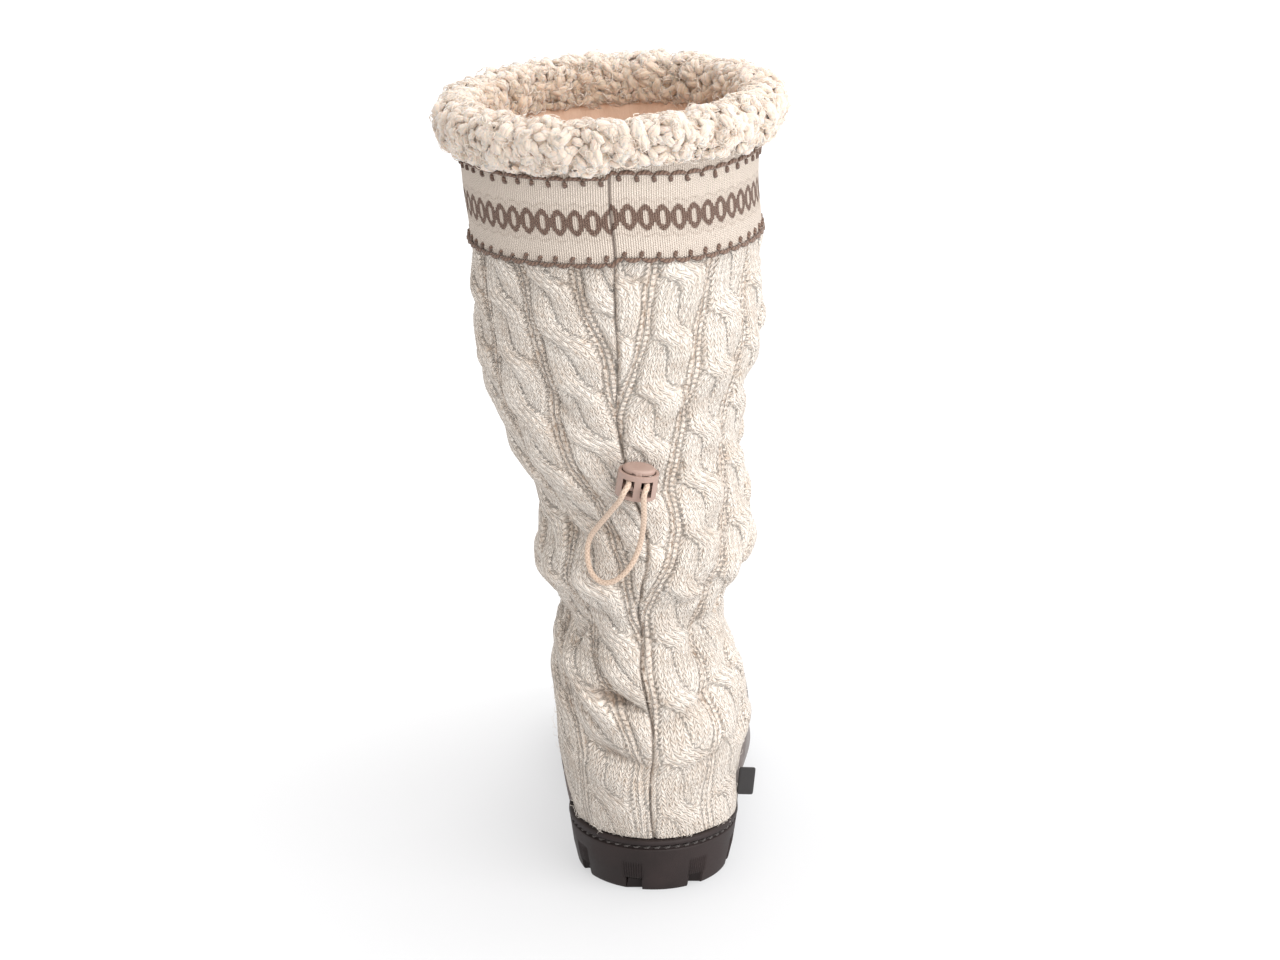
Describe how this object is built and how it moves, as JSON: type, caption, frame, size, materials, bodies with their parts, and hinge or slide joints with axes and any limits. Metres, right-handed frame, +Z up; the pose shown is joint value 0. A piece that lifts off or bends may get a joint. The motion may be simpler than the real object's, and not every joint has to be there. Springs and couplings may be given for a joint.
{
  "type": "slipper boot",
  "caption": "Tall slouching knitted slipper boot with a suede-like vamp, a fleece cuff over a patterned band, a cord lock with a loop at the back and a lugged rubber sole.",
  "frame": {"origin": "on the floor, on the tread under the centre of the heel", "axes": "+Z up the shaft, +Y from heel to toe, +X to the outer (lateral) side of the right foot"},
  "size_m": [0.1594, 0.2992, 0.377],
  "materials": {
    "sole_rubber": "dull moulded",
    "footbed": "short pile",
    "cable_knit": "marled cable knit",
    "suede": "brushed nap",
    "band_knit": "patterned knit",
    "fleece": "curly pile",
    "ribbon": "woven",
    "lock_plastic": "satin",
    "elastic": "braided"
  },
  "bodies": {
    "boot": {"outsole": "sole_rubber", "insole": "footbed", "upper": "cable_knit", "vamp_overlay": "suede", "trim_band": "band_knit", "fleece_cuff": "fleece", "side_label": "ribbon", "lock_barrel": "lock_plastic", "draw_cord": "elastic"},
    "push_button": {"lock_button": "lock_plastic"}
  },
  "joints": [
    {"name": "button_press", "type": "slide", "parent": "boot", "child": "push_button", "axis": [0.1392, -0.172, 0.9752], "range_m": [-0.0024, 0], "stiffness_N_per_m": 600}
  ]
}
